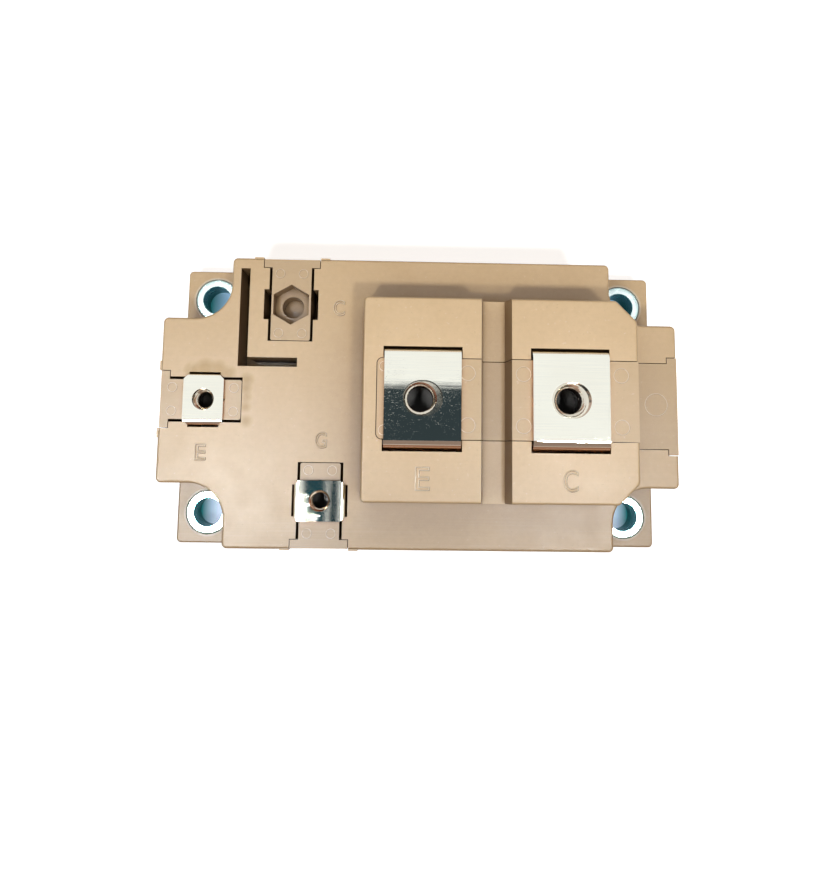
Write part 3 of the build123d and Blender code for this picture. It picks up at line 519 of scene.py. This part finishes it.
def threaded_nut(node):
    outer, bore, pitch = (size * MM for size in THREADS[node])
    low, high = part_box(node)
    middle = (low + high) / 2
    height = high.z - low.z
    long_x = high.x - low.x > high.y - low.y
    flats = min(high.x - low.x, high.y - low.y)
    levels = round(height / pitch * THREAD_STEPS)
    points, faces = [], []
    for i in range(NUT_STEPS):
        angle = math.tau * i / NUT_STEPS
        from_flat = (angle + (0 if long_x else math.pi / 6)) % (math.pi / 3) - math.pi / 6
        side = flats / 2 / math.cos(from_flat)
        drop = min(CORNER_CUT * MM + (side - flats / 2) * CORNER_SLOPE, height / 3)
        top = min(side, flats / 2 * TOP_SHARE)
        heights = [height * j / levels for j in range(levels + 1)]
        profile = [(thread_radius(outer, bore, pitch, z, height, angle), z) for z in heights]
        profile += [(top, height), (side, height - drop), (side, drop), (top, 0.0)]
        across, along = math.cos(angle), math.sin(angle)
        points += [(middle.x + r * across, middle.y + r * along, low.z + z) for r, z in profile]
        count = len(profile)
        following = (i + 1) % NUT_STEPS
        for j in range(count):
            k = (j + 1) % count
            faces.append((i * count + j, i * count + k, following * count + k, following * count + j))
    steel = plain_metal(f"steel_{node}", (0.74, 0.71, 0.62), (0.58, 0.52, 0.38), 0.09,
                        shade_below=high.z / MM - 1.0)
    piece = add_mesh(f"threaded_{node}", points, faces, steel, 35)
    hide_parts(node)


# Marks moulded into the plastic
def moulded_letter(name, text, x, y, width, height, carrier):
    """A letter whose outline stands up as a fine rounded line."""
    curve = bpy.data.curves.new(name, "FONT")
    curve.body = text
    curve.fill_mode = "NONE"
    sample = bpy.data.objects.new(name, curve)
    bpy.context.scene.collection.objects.link(sample)

    def outline():
        bpy.context.view_layer.update()
        state = bpy.context.evaluated_depsgraph_get()
        mesh = bpy.data.meshes.new_from_object(sample.evaluated_get(state))
        low = Vector([min(v.co[i] for v in mesh.vertices) for i in range(3)])
        high = Vector([max(v.co[i] for v in mesh.vertices) for i in range(3)])
        return mesh, low, high

    _, low, high = outline()
    curve.size = height * MM / (high.y - low.y)
    curve.bevel_depth = STROKE * MM
    curve.bevel_resolution = 2
    mesh, low, high = outline()
    bpy.data.objects.remove(sample)
    middle = (low + high) / 2
    squeeze = width * MM / (high.x - low.x)
    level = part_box(carrier)[1].z
    for vertex in mesh.vertices:
        across, along, up = vertex.co - middle
        vertex.co = (x * MM + across * squeeze, y * MM + along, level + up)
    add_piece(name, mesh, MARK_FINISH)


def ring(points, faces, x, y, level, radius, tube, steps=40, sides=6):
    """Adds a fine raised ring round (x, y) to a mesh's points and faces, in millimetres."""
    first = len(points)
    for i in range(steps):
        turn = math.tau * i / steps
        for j in range(sides):
            roll = math.tau * j / sides
            reach = radius + tube * math.cos(roll)
            points.append(((x + reach * math.cos(turn)) * MM, (y + reach * math.sin(turn)) * MM,
                           (level + tube * 0.7 * math.sin(roll)) * MM))
    for i in range(steps):
        for j in range(sides):
            a, b = first + i * sides, first + (i + 1) % steps * sides
            k = (j + 1) % sides
            faces.append((a + j, b + j, b + k, a + k))


def ejector_marks():
    """Round ejector marks on the nut carriers, each set on its carrier's own top face."""
    turned = {
        "collector_sense_nut_carrier": lambda u, v: (SPARE_SCREW_PLACE[0] + u, SPARE_SCREW_PLACE[1] + v),
        "emitter_sense_nut_carrier": lambda u, v: (NUT_PLACES["emitter_sense_nut"][0] - v, u),
        "gate_nut_carrier": lambda u, v: (-u + NUT_PLACES["gate_nut"][0], NUT_PLACES["gate_nut"][1] - v),
    }
    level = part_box("main_nut_carrier")[1].z / MM
    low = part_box("gate_nut_carrier")[1].z / MM
    rings = {"main_nut_carrier": [(*mark, level) for mark in BAR_RINGS]}
    rings["main_nut_carrier"] += [(*mark, low) for mark in HEEL_RINGS]
    for node, place in turned.items():
        rings[node] = [(*place(u, v), SMALL_RING, low)
                       for u in SMALL_RING_ACROSS for v in SMALL_RING_ALONG]
    for node, marks in rings.items():
        points, faces = [], []
        for x, y, radius, height in marks:
            ring(points, faces, x, y, height, radius, RING_TUBE)
        add_mesh(f"ejector_marks_{node}", points, faces, MARK_FINISH)


# Camera, lights, cards and floor
def add_camera():
    data = bpy.data.cameras.new("photo_camera")
    data.sensor_width = 36
    data.lens = CAMERA_LENS
    data.shift_x, data.shift_y = CAMERA_SHIFT
    data.clip_start = 0.005
    camera = bpy.data.objects.new("photo_camera", data)
    camera.location = CAMERA_PLACE
    camera.rotation_euler = [math.radians(a) for a in CAMERA_ANGLES]
    bpy.context.scene.collection.objects.link(camera)
    bpy.context.scene.camera = camera


def add_lamp(name, place, size, energy):
    """A round lamp that shines at the middle of the module."""
    data = bpy.data.lights.new(name, "AREA")
    data.shape = "DISK"
    data.size = size
    data.energy = energy
    data.color = LAMP_COLOUR
    lamp = bpy.data.objects.new(name, data)
    lamp.location = place
    lamp.rotation_euler = (-Vector(place)).to_track_quat("-Z", "Y").to_euler()
    lamp.visible_glossy = False
    bpy.context.scene.collection.objects.link(lamp)


def flat_sheet(name, corners, z):
    """A flat sheet at a height, with its corners in metres."""
    mesh = bpy.data.meshes.new(name)
    mesh.from_pydata([(x, y, z) for x, y in corners], [], [tuple(range(len(corners)))])
    sheet = bpy.data.objects.new(name, mesh)
    bpy.context.scene.collection.objects.link(sheet)
    return sheet


def add_card(name, corners, colour, strength=1.0, level=CARD_LEVEL):
    """A glowing sheet over the module that only shows as a reflection."""
    card = flat_sheet(name, corners, level)
    f = Finish(name)
    glow = f.nodes.new("ShaderNodeEmission")
    set_inputs(glow, Color=(*colour, 1.0), Strength=strength)
    f.link(glow.outputs["Emission"], f.nodes["Material Output"], "Surface")
    card.data.materials.append(f.material)
    card.visible_camera = False
    card.visible_diffuse = False
    card.visible_shadow = False
    card.visible_transmission = False


def add_spot(name, x, y, radius, strength):
    """A small bright disk, for the sheen on the plastic and the glints on the metal."""
    turns = [math.tau * i / 24 for i in range(24)]
    corners = [(x + radius * math.cos(turn), y + radius * math.sin(turn)) for turn in turns]
    add_card(name, corners, (1.0, 0.985, 0.96), strength, SPOT_LEVEL)


def add_floor():
    """A white floor, painted a shaded blue-grey under the module, where it shows through the mounting
    holes.
    """
    floor = flat_sheet("floor", [(-1.5, -1.5), (1.5, -1.5), (1.5, 1.5), (-1.5, 1.5)], -0.05 * MM)
    f = Finish("floor_white")
    x, y, _ = f.parts_of(f.place)
    across, along = f.maths("ABSOLUTE", x, 0), f.maths("ABSOLUTE", y, 0)
    inside = f.maths("MINIMUM", f.range(across, (UNDER_X - UNDER_SOFT) * MM, UNDER_X * MM, 1.0, 0.0),
                     f.range(along, (UNDER_Y - UNDER_SOFT) * MM, UNDER_Y * MM, 1.0, 0.0))
    # Painted shadow: the floor under the module coloured a shaded blue-grey, and dark teal below the
    # mounting holes
    pale = f.blend(f.range(y, -25 * MM, 25 * MM), (0.62, 0.70, 0.90), (0.28, 0.42, 0.60))
    under = f.blend(f.range(across, 45.2 * MM, 49.5 * MM), pale, (0.015, 0.12, 0.13))
    colour = f.blend(inside, (0.90, 0.90, 0.90), under)
    f.link(colour, f.surface, "Base Color")
    set_inputs(f.surface, Roughness=0.9, Specular_IOR_Level=0.0)
    _, shown = f.seen_directly()
    glow = f.nodes.new("ShaderNodeEmission")
    f.link(colour, glow, "Color")
    level = f.range(y, -35 * MM, 20 * MM, FLOOR_GLOW_FRONT, FLOOR_GLOW_REAR)
    f.link(f.maths("MULTIPLY", shown, level), glow, "Strength")
    both = f.nodes.new("ShaderNodeAddShader")
    f.links.new(f.surface.outputs["BSDF"], both.inputs[0])
    f.links.new(glow.outputs["Emission"], both.inputs[1])
    f.link(both.outputs["Shader"], f.nodes["Material Output"], "Surface")
    floor.data.materials.append(f.material)


class Sky(Finish):
    """The world's node tree, with the same short calls."""

    def __init__(self, name):
        self.world = bpy.data.worlds.new(name)
        self.world.use_nodes = True
        self.nodes = self.world.node_tree.nodes
        self.links = self.world.node_tree.links
        self.surface = self.nodes["Background"]
        self.place = self.nodes.new("ShaderNodeTexCoord").outputs["Generated"]


def add_world():
    """Soft light all round; mirrored, it is white above and behind and warm brown low in front."""
    f = Sky("studio")
    bpy.context.scene.world = f.world
    x, y, z = f.parts_of(f.place)
    front_low = f.maths("MULTIPLY", f.range(y, -0.30, 0.0, 1.0, 0.0), f.range(z, 0.38, 0.52, 1.0, 0.0))
    straight = f.range(f.maths("ABSOLUTE", x, 0), 0.30, 0.42, 1.0, 0.0)
    front_low = f.maths("MULTIPLY", front_low, straight)
    brown = f.maths("MAXIMUM", front_low, f.range(z, 0.0, 0.15, 1.0, 0.0))
    mirrored = f.blend(brown, (1.0, 1.0, 1.0), (0.40, 0.24, 0.16))
    path, shown = f.seen_directly()
    plain = f.blend(path.outputs["Is Camera Ray"], AMBIENT_COLOUR, (1.0, 1.0, 1.0))
    colour = f.blend(path.outputs["Is Glossy Ray"], plain, mirrored)
    f.link(colour, f.surface, "Color")
    f.link(f.range(shown, 0.0, 1.0, AMBIENT, 1.0), f.surface, "Strength")


dress_nodes()
for node in THREADS:
    threaded_nut(node)
for name, mark in LETTERS.items():
    moulded_letter(name, *mark)
ejector_marks()
add_camera()
add_floor()
add_world()
for name, card in CARDS.items():
    add_card(name, *card)
flag = flat_sheet("flag", *FLAG)
flag.visible_camera = False
flag.visible_diffuse = False
flag.visible_glossy = False
flag.visible_transmission = False
for name, spot in SPOTS.items():
    add_spot(name, *spot)
for name, lamp in LAMPS.items():
    add_lamp(name, *lamp)
bpy.context.scene.view_settings.view_transform = "Standard"
